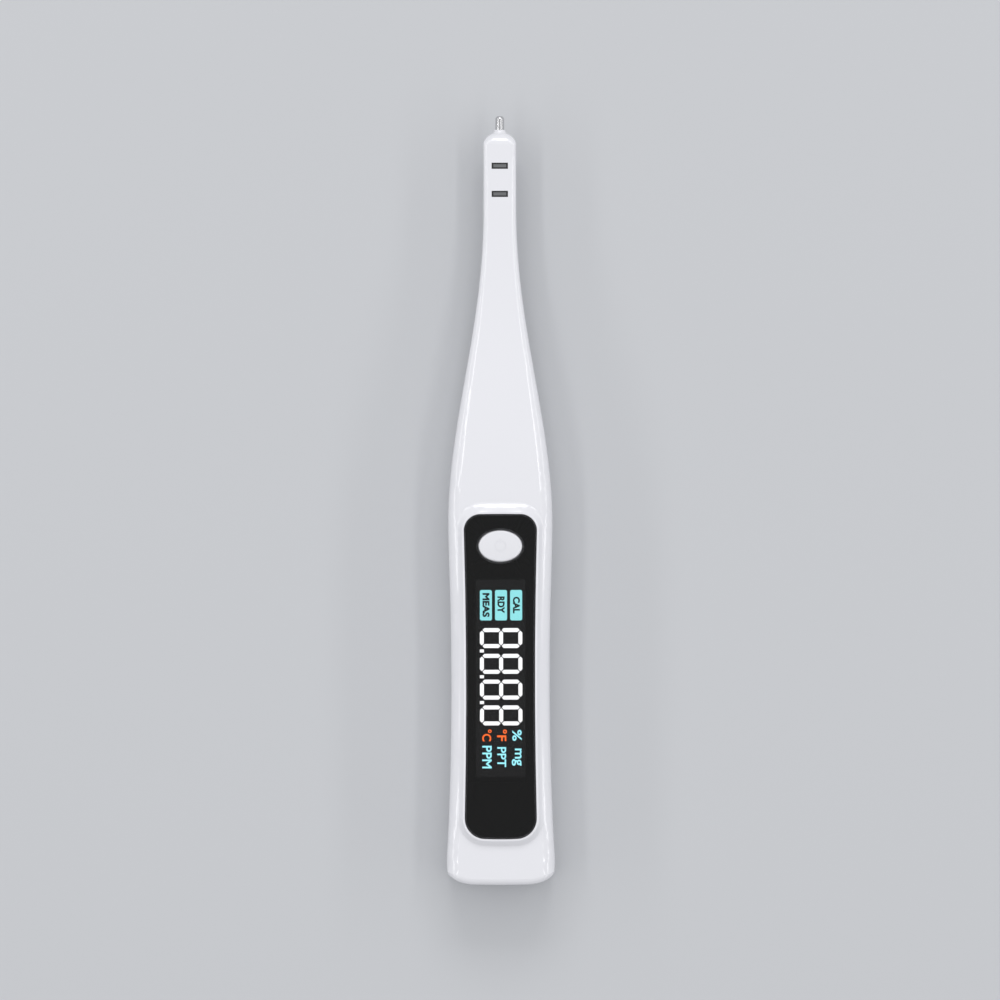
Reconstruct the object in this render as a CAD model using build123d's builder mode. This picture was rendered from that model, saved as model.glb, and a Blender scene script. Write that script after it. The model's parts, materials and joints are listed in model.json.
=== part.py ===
from build123d import *

import os
from math import atan2, cos, degrees, pi, radians, sin, tan

# A pen-shaped salinity meter lying on its back. Y runs along it to the tip of the probe, X goes across
# it and Z comes out of the display. Places along it are distances from its base. Millimetres.

# Stretches of the body, from the base to the tip
heel_at = 6.5  # widest place, just above the rounded base
waist_at = 52.0  # narrowest place of the handle
shoulder_at = 97.0  # widest place of the handle's upper end
neck_len = 83.0
probe_len = 17.4
nose_len = 3.4
pin_out = 4.2  # pin and its ring past the nose's dome
slope_delay = 7.0  # how far past the shoulder the front and back start to close in

# Body
wall = 1.5
base_flare = 2.6  # how much wider than the waist the base is
heel_tuck = 0.9
shoulder_flare = 1.6
probe_width = 8.7
probe_height = 7.8
handle_corner = 3.3
probe_corner = 1.1
base_round = 1.5
base_flat_half = 7.0  # from here the base curves up in a quarter of an oval to either side
base_flat_rise = 0.08
base_curve_width = 7.9
base_curve_len = 5.2
nose_shares = (0, 0.25, 0.5, 0.7, 0.85, 0.94)  # places of the dome's sections along the nose
neck_skew = 0.93
handle_sections = 14  # cross-sections that the handle and the neck are lofted through
neck_sections = 14
face_skim = 0.01  # taken off the front and back to leave them truly flat
lip_height = 1.0
lip_gap = 0.1
seam = 0.1  # open joint line between the shells
end_plug = 2.4  # solid plastic round the pin, behind the nose
rib_thk = 1.0
rib_top_gap = 0.4
neck_rib_places = (124.0, 140.0)

# Two AAA cells side by side
cell_dia = 10.5
cell_len = 44.5
cell_edge = 0.4
nub_dia = 3.8
nub_len = 1.0
cell_gap = 0.2
cradle_gap = 0.2
bay_at = 11.0  # inner face of the bay's lower wall
bay_side_gap = 0.15
bay_wall = 0.7
bay_end_wall = 1.2
cradle_reach = 2.5  # how far the cradle comes down between the cells
tray_thk = 0.8

# Battery door
door_gap = 0.15
door_past_bay = 0.6
tongue_reach = 0.5
tongue_thk = 0.6
tongue_from_base = 4.0
ledge_thk = 0.75
slot_thk = 0.8
door_lip_height = 4.5
door_hook = 1.5
door_room = 0.3  # above the door's inner face
hook_half = 8.0
rail_height = 1.1
grip_count = 5
grip_pitch = 2.2
grip_width = 1.0
grip_half = 5.0
grip_depth = 0.4
grip_at = 44.0

# Battery contacts
contact_thk = 0.4
contact_width = 7.0
contact_height = 8.0
bridge_height = 7.5
bridge_strap = 4.0
dimple_height = 0.6
dimple_dia = 3.0
spring_len = 4.5
spring_wire = 0.6
spring_sink = 0.1  # how far the spring's foot is let into its plate
spring_big_dia = 7.0
spring_small_dia = 4.2
spring_turns = 3
spring_sides = 6
tail_width = 2.0

# Board
board_gap = 0.4
board_thk = 1.0
board_width = 19.6
board_at = 20.0
board_len = 84.0
board_round = 2.0
board_post_x = 8.4
board_post_from_end = 4.0
board_post_dia = 2.4
pad_width = 2.0
pad_len = 4.0

# Display with all its segments lit
display_height = 2.8
display_width = 13.4
display_len = 52.8
display_at = 28.7
display_gap = 0.15
reading_shift = 0.15  # of all that is lit, to the right
segment_depth = 0.4
digit_count = 4
digit_width = 5.3
digit_height = 11.3
digit_pitch = 6.87
digit_shift = 0.4  # from the display's middle to the digits' middle
stroke = 1.05
segment_gap = 0.35
point_width = 0.8
point_height = 1.07
flag_len = 8.1
flag_width = 3.2
flag_round = 0.5
flag_count = 3
flag_pitch = 4.03
flag_shift = 19.45  # from the display's middle to the flags' middle
pin_row_gap = 10.16
pin_pitch = 2.54
pins_per_row = 7
display_pin_side = 0.5
display_pin_below = 0.25

# Tact switch
switch_size = 4.5
switch_height = 1.3
switch_floor = 0.3
switch_cover_thk = 0.15
plunger_dia = 2.4
plunger_gap = 0.05
plunger_sink = 0.6
dome_thk = 0.1
dome_dia = 2.3

# Other parts on the board's back
chip_size = 7.0
chip_thk = 1.4
chip_at = 86.0
chip_pins = 8
chip_pin_pitch = 0.8
chip_pin_width = 0.35
chip_pin_reach = 1.0
small_part_width = 1.6
small_part_len = 3.2
small_part_thk = 1.1
small_part_places = [(x, place) for x in (-6.4, -3.2, 3.2, 6.4) for place in (68.0, 76.0)]
crystal_at = 72.0
crystal_len = 8.0
crystal_width = 3.4
header_width = 9.0
header_len = 5.0
header_height = 3.2
lead_pitch = 1.5

# Lens, its tape and the raised bezel
lens_at = 12.75
lens_len = 85.9
lens_top_width = 19.6
lens_waist_width = 18.2
lens_base_width = 19.3
lens_corner_top = 4.3
lens_corner_base = 5.4
lens_top_bulge = 0.15
lens_base_bulge = 0.5
lens_thk = 1.2
lens_sink = 0.1
lens_gap = 0.1
lens_edge = 0.15
tape_thk = 0.15
tape_margin = 0.4
window_margin = 0.1
bezel_rise = 1.5
bezel_root = 1.0
rim = 0.55
bezel_spread_top = 3.3
bezel_spread_side = 2.0
bezel_spread_base = 1.9
bezel_edge_round = 0.3
bezel_slope = ((0, 1), (0.1, 0.8), (0.9, 0.1), (1, 0))  # share of the rise, share of the spread

# Button
button_width = 11.6
button_len = 8.3
button_from_lens_end = 8.35
button_proud = 0.75
button_gap = 0.15
button_flange = 1.1
flange_thk = 0.8
flange_room = 0.4
flange_play = 0.25
button_crown_radius = 34.0
button_edge_round = 0.5
tape_hole_room = 0.6
sign_radius = 1.4
sign_line = 0.3
sign_gap = 1.1
sign_depth = 0.12

# Probe
pin_dia = 2.35
pin_bore = 1.75
pin_flange_dia = 3.4
pin_flange_thk = 0.8
pin_tip_thk = 0.9
pin_tip_round = 0.9
bead_gap = 0.05
nose_ring_at = 0.9  # share of the nose's length
nose_ring_len = 0.85
nose_ring_foot = 1.9
nose_ring_top = 1.45
electrode_from_nose = 5.7
electrode_pitch = 7.5
electrode_width = 3.45
electrode_len = 0.85
electrode_sink = 0.1
upper_electrode_depth = 3.4
lower_electrode_depth = 2.6
collar_width = 4.35
collar_len = 1.64
collar_flange = 0.25
collar_flange_thk = 0.6
collar_sink = 0.05
tab_len = 1.6
tab_width = 1.0
tab_thk = 0.5
tab_x = 1.2
electrode_lead_dia = 0.7
thermistor_lead_dia = 0.5
thermistor_lead_x = 0.35
leads_turn_at = 152.0  # where the leads start towards the board
leads_level_at = 122.0  # where they have reached the header's height
header_entry = 1.6  # from the board's back to the leads

# Screws
screw_dia = 2.0
screw_head_dia = 3.6
screw_head_thk = 1.4
screw_len = 8.0
screw_boss_dia = 4.4
neck_boss_dia = 6.0
screw_seat = 3.2  # height of the seat above a head
seat_thk = 1.4
base_screw_x = 7.0
base_screw_at = 5.9
neck_screw_x = 8.2
neck_screw_past = 12.0  # beyond the shoulder
board_screw_dia = 1.4
board_screw_head = 2.6
board_screw_head_thk = 1.1
board_screw_len = 2.8
board_screw_x = 8.2
board_boss_dia = 2.6
board_screw_past_bay = 10.6
board_screw_from_end = 4.0
fit = 0.1  # small gap where one piece passes another

# Heights of the stack, from the back up
cell_x = (cell_dia + cell_gap) / 2
cell_z = wall + cradle_gap + cell_dia / 2
tray_z = cell_z + cell_dia / 2 + cradle_gap
tray_top_z = tray_z + tray_thk
board_z = tray_top_z + board_gap
board_top = board_z + board_thk
display_z = board_top + display_height
handle_height = display_z + fit
mid_z = handle_height / 2
inner_z = handle_height - wall
bezel_z = handle_height + bezel_rise
lens_top = bezel_z - lens_sink
lens_z = lens_top - lens_thk
seat_z = lens_z - tape_thk
flange_top = seat_z - flange_play
flange_z = flange_top - flange_thk
switch_top = board_top + switch_height
dome_height = switch_height - switch_floor - plunger_sink
boss_z = screw_seat + seat_thk
header_z = board_z - header_entry

# Places along the body, and the widths that follow from the cells
neck_end_at = shoulder_at + neck_len
nose_at = neck_end_at + probe_len
nose_end = nose_at + nose_len
total_len = nose_end + pin_out
hollow_end = nose_at - end_plug
bay_len = 2 * contact_thk + spring_len + dimple_height + cell_len
bay_end = bay_at + bay_len
bay_half = cell_x + cell_dia / 2 + bay_side_gap
tray_half = bay_half + bay_wall
door_half = bay_half - door_gap
door_len = bay_end + door_past_bay
tray_start = bay_at - bay_end_wall
tray_end = bay_end + bay_end_wall
waist_width = 2 * (tray_half + bay_side_gap + wall)
base_width = waist_width + base_flare
shoulder_width = waist_width + shoulder_flare
display_mid = display_at + display_len / 2
lens_end = lens_at + lens_len
button_at = lens_end - button_from_lens_end
board_end = board_at + board_len
board_mid = board_at + board_len / 2
electrode_upper_at = nose_at - electrode_from_nose
electrode_lower_at = electrode_upper_at - electrode_pitch
probe_front = mid_z + probe_height / 2
neck_screw_at = shoulder_at + neck_screw_past
screw_places = [(x, base_screw_at) for x in (-base_screw_x, base_screw_x)] + [
    (x, neck_screw_at) for x in (-neck_screw_x, neck_screw_x)
]
board_screw_places = [
    (x, place)
    for x in (-board_screw_x, board_screw_x)
    for place in (bay_end + board_screw_past_bay, board_end - board_screw_from_end)
]
board_post_places = [(x, board_at + board_post_from_end) for x in (-board_post_x, board_post_x)]
pin_axis = Axis((0, 0, mid_z), (0, 1, 0))


def along(from_base):
    """Y of a place at a distance from the base."""
    return from_base - total_len / 2


def spots(places):
    """Points on the XY plane for pairs of x and a distance from the base."""
    return [(x, along(place)) for x, place in places]


def ease(share):
    """Smooth rise from 0 to 1."""
    return share * share * (3 - 2 * share)


def flare(from_base, start, length):
    """Share of the handle's size left along the neck: 1 up to its foot, 0 from the probe on."""
    share = min(max((from_base - start) / length, 0), 1)
    return (1 + cos(pi * share**neck_skew)) / 2


def body_width(from_base):
    if from_base <= heel_at:
        return base_width - heel_tuck * ((heel_at - from_base) / heel_at) ** 2
    if from_base <= waist_at:
        return waist_width + base_flare * ((waist_at - from_base) / (waist_at - heel_at)) ** 2
    if from_base <= shoulder_at:
        share = (from_base - waist_at) / (shoulder_at - waist_at)
        return waist_width + shoulder_flare * ease(share**1.5)
    return probe_width + (shoulder_width - probe_width) * flare(from_base, shoulder_at, neck_len)


def body_height(from_base):
    left = flare(from_base, shoulder_at + slope_delay, neck_len - slope_delay)
    return probe_height + (handle_height + 2 * face_skim - probe_height) * left


def body_corner(from_base):
    return probe_corner + (handle_corner - probe_corner) * flare(from_base, shoulder_at, neck_len)


def across_body(from_base, z=mid_z):
    """Plane square to the body's length, with Z pointing to the tip."""
    return Plane(origin=(0, along(from_base), z), x_dir=(1, 0, 0), z_dir=(0, 1, 0))


def body_sections(start, end):
    """Places of the cross-sections that the body is lofted through."""
    handle = [heel_at + (shoulder_at - heel_at) * i / handle_sections for i in range(handle_sections)]
    neck = [shoulder_at + neck_len * i / neck_sections for i in range(neck_sections + 1)]
    probe = [neck_end_at + probe_len / 3, neck_end_at + probe_len * 2 / 3]
    inner = [place for place in [heel_at / 2] + handle + neck + probe if start + 1 < place < end - 1]
    return [start] + inner + [end]


def body_form(inset, start, end):
    """The body's outside, or the same form drawn in on all four sides."""
    with BuildPart() as form:
        for place in body_sections(start, end):
            with BuildSketch(across_body(place)):
                RectangleRounded(
                    body_width(place) - 2 * inset,
                    body_height(place) - 2 * inset,
                    max(body_corner(place) - inset, 0.4),
                )
        loft()
    return form.part


def block(x_low, x_high, start, end, z_low, z_high):
    """Box between two X values, two distances from the base and two heights."""
    return Pos((x_low + x_high) / 2, along((start + end) / 2), (z_low + z_high) / 2) * Box(
        x_high - x_low, end - start, z_high - z_low, mode=Mode.PRIVATE
    )


def base_slab(inset):
    """Thick plate whose lower end is the base's curve moved in by inset, which trims the body's forms."""
    right = [(base_flat_half / 2, along(inset + base_flat_rise / 4))]
    for angle in (0, 25, 45, 65, 80):
        out = base_flat_half + (base_curve_width - inset) * sin(radians(angle))
        up = inset + base_flat_rise + (base_curve_len - inset) * (1 - cos(radians(angle)))
        right.append((out, along(up)))
    left = [(-x, y) for x, y in reversed(right)]
    far = along(total_len)
    with BuildPart() as slab:
        with BuildSketch(Plane.XY.offset(-wall)):
            with BuildLine():
                Spline(*left, (0, along(inset)), *right)
                Polyline(right[-1], (base_width, right[-1][1]), (base_width, far), (-base_width, far))
                Polyline((-base_width, far), (-base_width, left[0][1]), left[0])
            make_face()
        extrude(amount=handle_height + 2 * wall)
    return slab.part


def lens_outline(top=0, side=0, base=0):
    """The lens's waisted outline, grown at its top, sides and base."""
    y_top = along(lens_end) + top
    y_base = along(lens_at) - base
    y_waist = along(waist_at)
    half_top = lens_top_width / 2 + side
    half_waist = lens_waist_width / 2 + side
    half_base = lens_base_width / 2 + side
    with BuildSketch() as outline:
        with BuildLine():
            ThreePointArc((-half_base, y_base), (-half_waist, y_waist), (-half_top, y_top))
            ThreePointArc((-half_top, y_top), (0, y_top + lens_top_bulge), (half_top, y_top))
            ThreePointArc((half_top, y_top), (half_waist, y_waist), (half_base, y_base))
            ThreePointArc((half_base, y_base), (0, y_base - lens_base_bulge), (-half_base, y_base))
        make_face()
        fillet(outline.vertices().sort_by(Axis.Y)[:2], lens_corner_base + (side + base) / 2)
        fillet(outline.vertices().sort_by(Axis.Y)[-2:], lens_corner_top + (side + top) / 2)
    return outline.sketch


def corner_radii(points):
    """Largest even arc for each corner of a lead's route."""
    runs = [(Vector(*b) - Vector(*a)) for a, b in zip(points, points[1:])]
    radii = []
    for before, after in zip(runs, runs[1:]):
        turn = radians(before.get_angle(after))
        radii.append(0.45 * min(before.length, after.length) / tan(turn / 2))
    return radii


# The whole body's outside, before it is parted into two shells
outer_form = body_form(0, -1, nose_at)
with BuildPart() as outside:
    add(outer_form)
    add(base_slab(0), mode=Mode.INTERSECT)
    add(block(-30, 30, -5, total_len, 0, handle_height), mode=Mode.INTERSECT)
    fillet(outside.faces().sort_by(Axis.Y)[0].edges(), base_round)

# Nose: the probe's end closed in by a dome, with the pin's ring
with BuildPart() as nose:
    for share in nose_shares:
        left = (1 - share**2) ** 0.5
        with BuildSketch(across_body(nose_at + nose_len * share)):
            RectangleRounded(
                probe_width * left,
                probe_height * left,
                probe_corner * (1 - share) + 0.45 * probe_height * left * share,
            )
    loft()
    ring_y = along(nose_at + nose_len * nose_ring_at)
    ring_end = ring_y + nose_ring_len
    with BuildSketch(Plane.XY.offset(mid_z)):
        with BuildLine():
            Polyline((0, ring_end), (0, ring_y - 1), (nose_ring_foot, ring_y - 1), (nose_ring_foot, ring_y))
            RadiusArc((nose_ring_foot, ring_y), (nose_ring_top, ring_end), 1.1)
            Line((nose_ring_top, ring_end), (0, ring_end))
        make_face()
    revolve(axis=pin_axis)

# Hollow inside both shells
hollow_form = body_form(wall, -1, hollow_end)
with BuildPart() as hollow:
    add(hollow_form)
    add([base_slab(wall) & block(-30, 30, -5, total_len, wall, inner_z)], mode=Mode.INTERSECT)

# Raised bezel round the lens, with a soft slope that spreads wider at the top
with BuildPart() as bezel:
    for rise_share, spread_share in bezel_slope:
        with BuildSketch(Plane.XY.offset(handle_height + bezel_rise * rise_share)):
            add(
                lens_outline(
                    rim + (bezel_spread_top - rim) * spread_share,
                    rim + (bezel_spread_side - rim) * spread_share,
                    rim + (bezel_spread_base - rim) * spread_share,
                )
            )
    loft()
    with BuildSketch(Plane.XY.offset(handle_height - bezel_root)):
        add(lens_outline(bezel_spread_top, bezel_spread_side, bezel_spread_base))
    extrude(amount=bezel_root)
    fillet(bezel.faces().sort_by(Axis.Z)[-1].edges(), bezel_edge_round)

# Lap joint between the shells: the rear shell's lip stands inside the front shell's rebate
lip_line = wall / 2
rebate_form = body_form(lip_line - lip_gap / 2, -1, hollow_end) & base_slab(lip_line - lip_gap / 2)
lip_form = body_form(lip_line + lip_gap / 2, -1, hollow_end) & base_slab(lip_line + lip_gap / 2)

# Body with its nose and the pin's bore, still solid and in one piece
with BuildPart() as body:
    add([outside.part, nose.part])
    with BuildSketch(across_body(hollow_end)):
        Circle(pin_dia / 2)
    extrude(amount=total_len - hollow_end, mode=Mode.SUBTRACT)

# Front shell
with BuildPart() as front_shell:
    add(body.part)
    add(block(-30, 30, -5, total_len + 5, mid_z, handle_height + 5), mode=Mode.INTERSECT)
    add(bezel.part)
    add(hollow.part, mode=Mode.SUBTRACT)
    add(rebate_form & block(-30, 30, -5, total_len, mid_z - 1, mid_z + lip_height + fit), mode=Mode.SUBTRACT)
    # seat for the lens
    with BuildSketch(Plane.XY.offset(seat_z)):
        add(lens_outline(lens_gap, lens_gap, lens_gap))
    extrude(amount=bezel_rise + wall, mode=Mode.SUBTRACT)
    # window for the display and hole for the button's flange
    with BuildSketch(Plane.XY.offset(inner_z - wall)):
        with Locations((0, along(display_mid))):
            Rectangle(display_width + 2 * display_gap, display_len + 2 * display_gap)
        with Locations((0, along(button_at))):
            Ellipse(
                button_width / 2 + button_flange + flange_room,
                button_len / 2 + button_flange + flange_room,
            )
    extrude(amount=2 * wall + bezel_rise, mode=Mode.SUBTRACT)
    # posts that hold the board down, and bosses for the board's and the shells' screws
    with BuildSketch(Plane.XY.offset(board_top)):
        with Locations(*spots(board_screw_places)):
            Circle(board_boss_dia / 2)
        with Locations(*spots(board_post_places)):
            Circle(board_post_dia / 2)
    extrude(amount=inner_z - board_top + wall / 4)
    with BuildSketch(Plane.XY.offset(boss_z + fit / 2)):
        with Locations(*spots(screw_places)):
            Circle(screw_boss_dia / 2)
    extrude(amount=inner_z - boss_z + wall / 4)
    with BuildSketch(Plane.XY.offset(boss_z)):
        with Locations(*spots(screw_places)):
            Circle(screw_dia / 2)
    extrude(amount=screw_len - seat_thk + fit, mode=Mode.SUBTRACT)
    with BuildSketch(Plane.XY.offset(board_top)):
        with Locations(*spots(board_screw_places)):
            Circle(board_screw_dia / 2)
    extrude(amount=board_screw_len - board_thk + fit, mode=Mode.SUBTRACT)
    # slots for the electrodes' collars
    with BuildSketch(Plane.XY.offset(mid_z)):
        with Locations(*spots([(0, electrode_upper_at), (0, electrode_lower_at)])):
            Rectangle(collar_width, collar_len)
    extrude(amount=probe_height, mode=Mode.SUBTRACT)

# Rear shell, with the battery tray, the door's rails and the screws' seats
door_edge = door_half + door_gap
tongue_slot = door_half + tongue_reach + door_gap
rail_z = ledge_thk + slot_thk
cradle_z = tray_z - cradle_reach
rail_end = door_len + door_hook + wall
tail_half = tail_width / 2 + fit
bead_clear = mid_z - thermistor_lead_dia / 2 - rib_top_gap
# walls that stay when the shell is hollowed out: the door's rails, the bay's ends, a shelf and the neck's ribs
inner_walls = [
    block(-20, -door_edge, wall, rail_end, 0, rail_z + rail_height),
    block(door_edge, 20, wall, rail_end, 0, rail_z + rail_height),
    block(-20, 20, tray_start, bay_at, wall + fit, mid_z),
    block(-20, 20, bay_end, tray_end, wall + fit, mid_z),
    block(-20, 20, wall + 2 * door_gap, tray_start, screw_seat, boss_z),
] + [block(-20, 20, place, place + rib_thk, -1, bead_clear) for place in neck_rib_places]
# the tray has two side walls and two end walls under a cradle that fits the cells
tray = [
    block(-tray_half, -bay_half, tray_start, tray_end, rail_z, tray_top_z),
    block(bay_half, tray_half, tray_start, tray_end, rail_z, tray_top_z),
    block(-tray_half, tray_half, tray_start, bay_at, mid_z - 1, tray_top_z),
    block(-tray_half, tray_half, bay_end, tray_end, mid_z - 1, tray_top_z),
    block(-tray_half, tray_half, tray_start, tray_end, cradle_z, tray_top_z),
]
# opening for the door with room over it, the slots for its tongues and its hook, and the cut for its lip
door_well = [
    block(-door_edge, door_edge, -5, door_len + door_gap, -1, wall + door_room),
    block(-door_edge, door_edge, -5, rail_end - wall + door_gap, ledge_thk, rail_z),
    block(-tongue_slot, tongue_slot, -5, door_len + door_gap, ledge_thk, rail_z),
    block(-door_edge, door_edge, -5, 2 * wall + door_gap, -1, door_lip_height + door_gap),
]
tail_slots = [
    block(x - tail_half, x + tail_half, bay_end - contact_thk - fit, bay_end, cradle_z - 1, board_z)
    for x in (-cell_x, cell_x)
]
with BuildPart() as rear_room:
    add(hollow.part)
    add([*inner_walls, *tray], mode=Mode.SUBTRACT)
with BuildPart() as rear_shell:
    add(body.part)
    add(block(-30, 30, -5, total_len + 5, -1, mid_z - seam), mode=Mode.INTERSECT)
    add([lip_form & block(-30, 30, -5, total_len, mid_z - seam, mid_z + lip_height), *tray])
    add(rear_room.part, mode=Mode.SUBTRACT)
    add([*door_well, *tail_slots], mode=Mode.SUBTRACT)
    with BuildSketch(across_body(bay_at, cell_z)):
        with Locations((-cell_x, 0), (cell_x, 0)):
            Circle(cell_dia / 2 + cradle_gap)
    extrude(amount=bay_len, mode=Mode.SUBTRACT)
    # pads that carry the board's lower end
    with BuildSketch(Plane.XY.offset(tray_top_z)):
        with Locations(*spots(board_post_places)):
            Rectangle(pad_width, pad_len)
    extrude(amount=board_gap)
    # screw seats: holes in the shelf at the base, counterbored bosses at the neck
    with BuildSketch(Plane.XY.offset(wall / 2)):
        with Locations(*spots(screw_places[2:])):
            Circle(neck_boss_dia / 2)
    extrude(amount=boss_z - wall / 2)
    with BuildSketch(Plane.XY.offset(-1)):
        with Locations(*spots(screw_places[2:])):
            Circle(screw_head_dia / 2 + 2 * fit)
    extrude(amount=screw_seat + 1, mode=Mode.SUBTRACT)
    with BuildSketch(Plane.XY.offset(screw_seat)):
        with Locations(*spots(screw_places)):
            Circle(screw_dia / 2 + fit)
    extrude(amount=seat_thk, mode=Mode.SUBTRACT)

# Battery door, which slides off over the base
tongue_z = ledge_thk + (slot_thk - tongue_thk) / 2
tongue_half = door_half + tongue_reach
door_cuts = [
    block(-door_half, door_half, 2 * wall, door_len, wall, door_lip_height + 1),
    hollow.part & block(-door_half, door_half, wall, 2 * wall, wall, door_lip_height + 1),
]
with BuildPart() as battery_door:
    add(outside.part)
    add(block(-door_half, door_half, -5, door_len, -1, door_lip_height), mode=Mode.INTERSECT)
    add(door_cuts, mode=Mode.SUBTRACT)
    add(
        [
            block(-tongue_half, tongue_half, tongue_from_base, door_len, tongue_z, tongue_z + tongue_thk),
            block(-hook_half, hook_half, door_len - 1, door_len + door_hook, tongue_z, tongue_z + tongue_thk),
        ]
    )
    with BuildSketch(Plane.XY):
        with Locations((0, along(grip_at))):
            with GridLocations(0, grip_pitch, 1, grip_count):
                SlotOverall(2 * grip_half, grip_width)
    extrude(amount=grip_depth, mode=Mode.SUBTRACT)

# Lens with the hole for the button
with BuildPart() as display_lens:
    with BuildSketch(Plane.XY.offset(lens_z)):
        add(lens_outline())
        with Locations((0, along(button_at))):
            Ellipse(button_width / 2 + button_gap, button_len / 2 + button_gap, mode=Mode.SUBTRACT)
    extrude(amount=lens_thk)
    chamfer(display_lens.faces().sort_by(Axis.Z)[-1].outer_wire().edges(), lens_edge)

# Black tape behind the lens, which masks all but the display
with BuildPart() as lens_tape:
    with BuildSketch(Plane.XY.offset(seat_z)):
        add(lens_outline(-tape_margin, -tape_margin, -tape_margin))
        with Locations((0, along(display_mid))):
            Rectangle(display_width - 2 * window_margin, display_len - 2 * window_margin, mode=Mode.SUBTRACT)
        with Locations((0, along(button_at))):
            Ellipse(button_width / 2 + tape_hole_room, button_len / 2 + tape_hole_room, mode=Mode.SUBTRACT)
    extrude(amount=tape_thk)

# Button: a crowned oval cap on a flange that the lens keeps in
with BuildPart() as power_button:
    with BuildSketch(Plane.XY.offset(flange_z)):
        with Locations((0, along(button_at))):
            Ellipse(button_width / 2 + button_flange, button_len / 2 + button_flange)
    extrude(amount=flange_thk)
    with BuildSketch(Plane.XY.offset(flange_top)):
        with Locations((0, along(button_at))):
            Ellipse(button_width / 2, button_len / 2)
    extrude(amount=lens_top + button_proud - flange_top)
    with Locations((0, along(button_at), lens_top + button_proud - button_crown_radius)):
        Sphere(button_crown_radius, mode=Mode.INTERSECT)
    fillet(power_button.faces().sort_by(Axis.Z)[-1].edges(), button_edge_round)
    # engraved power sign: an open ring with a bar through its gap
    with BuildSketch(Plane.XY.offset(lens_top + button_proud - sign_depth)):
        with Locations((0, along(button_at))):
            Circle(sign_radius + sign_line / 2)
            Circle(sign_radius - sign_line / 2, mode=Mode.SUBTRACT)
            Rectangle(sign_gap, 2 * sign_radius, align=(Align.CENTER, Align.MIN), mode=Mode.SUBTRACT)
        with Locations((0, along(button_at) + sign_radius)):
            Rectangle(sign_line, sign_radius)
    extrude(amount=1, mode=Mode.SUBTRACT)

# Board
with BuildPart() as main_board:
    with BuildSketch(Plane.XY.offset(board_z)):
        with Locations((0, along(board_mid))):
            RectangleRounded(board_width, board_len, board_round)
        with Locations(*spots(board_screw_places)):
            Circle(board_screw_dia / 2 + fit, mode=Mode.SUBTRACT)
        with Locations((0, along(display_mid))):
            with GridLocations(pin_row_gap, pin_pitch, 2, pins_per_row):
                Rectangle(display_pin_side, display_pin_side, mode=Mode.SUBTRACT)
    extrude(amount=board_thk)

# Display: a housing with a well for each lit segment, and the segments that fill the wells
reading = Plane(origin=(reading_shift, along(display_mid), display_z), x_dir=(0, -1, 0), z_dir=(0, 0, 1))
half_width = (digit_width - stroke) / 2
half_height = (digit_height - stroke) / 4
level_len = digit_width - stroke - segment_gap
upright_len = (digit_height - stroke) / 2 - segment_gap


def bar(length):
    """Points of a segment with pointed ends, along X."""
    tip = length / 2
    side = stroke / 2
    half = [(tip, 0), (tip - side, side), (side - tip, side)]
    return half + [(-x, -y) for x, y in half]


with BuildSketch(reading) as segments:
    for digit in range(digit_count):
        middle = (digit - (digit_count - 1) / 2) * digit_pitch - digit_shift
        with Locations(*[(middle, 2 * half_height * row) for row in (-1, 0, 1)]):
            Polygon(*bar(level_len))
        with Locations(*[(middle + half_width * x, half_height * y) for x in (-1, 1) for y in (-1, 1)]):
            Polygon(*bar(upright_len), rotation=90)
        if digit < digit_count - 1:
            with Locations((middle + digit_pitch / 2, (point_height - digit_height) / 2)):
                Rectangle(point_width, point_height)
    with Locations((-flag_shift, 0)):
        with GridLocations(0, flag_pitch, 1, flag_count):
            RectangleRounded(flag_len, flag_width, flag_round)

with BuildPart() as led_display:
    with BuildSketch(Plane.XY.offset(board_top)):
        with Locations((0, along(display_mid))):
            Rectangle(display_width, display_len)
    extrude(amount=display_height)
    extrude(segments.sketch, amount=-segment_depth, mode=Mode.SUBTRACT)

with BuildPart() as display_segments:
    extrude(segments.sketch, amount=-segment_depth)

with BuildPart() as display_pins:
    with BuildSketch(Plane.XY.offset(board_z - display_pin_below)):
        with Locations((0, along(display_mid))):
            with GridLocations(pin_row_gap, pin_pitch, 2, pins_per_row):
                Rectangle(display_pin_side, display_pin_side)
    extrude(amount=board_thk + display_pin_below)

# Tact switch under the button
with BuildPart() as switch_body:
    with BuildSketch(Plane.XY.offset(board_top)):
        with Locations((0, along(button_at))):
            Rectangle(switch_size, switch_size)
    extrude(amount=switch_height)
    with BuildSketch(Plane.XY.offset(board_top + switch_floor)):
        with Locations((0, along(button_at))):
            Circle(plunger_dia / 2 + plunger_gap)
    extrude(amount=switch_height, mode=Mode.SUBTRACT)

with BuildPart() as switch_cover:
    with BuildSketch(Plane.XY.offset(switch_top)):
        with Locations((0, along(button_at))):
            Rectangle(switch_size, switch_size)
            Circle(plunger_dia / 2 + fit, mode=Mode.SUBTRACT)
    extrude(amount=switch_cover_thk)

with BuildPart() as switch_plunger:
    with BuildSketch(Plane.XY.offset(switch_top - plunger_sink)):
        with Locations((0, along(button_at))):
            Circle(plunger_dia / 2)
    extrude(amount=flange_z - switch_top + plunger_sink)

# Snap dome between the switch's floor and its plunger
dome_floor = board_top + switch_floor
dome_radius = (dome_dia**2 / 4 + dome_height**2) / (2 * dome_height)
with BuildPart() as switch_dome:
    with Locations((0, along(button_at), dome_floor + dome_height - dome_radius)):
        Sphere(dome_radius)
        Sphere(dome_radius - dome_thk, mode=Mode.SUBTRACT)
    dome_half = dome_dia / 2
    dome_start = button_at - dome_half
    add(
        block(-dome_half, dome_half, dome_start, dome_start + dome_dia, dome_floor, switch_top),
        mode=Mode.INTERSECT,
    )

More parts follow.
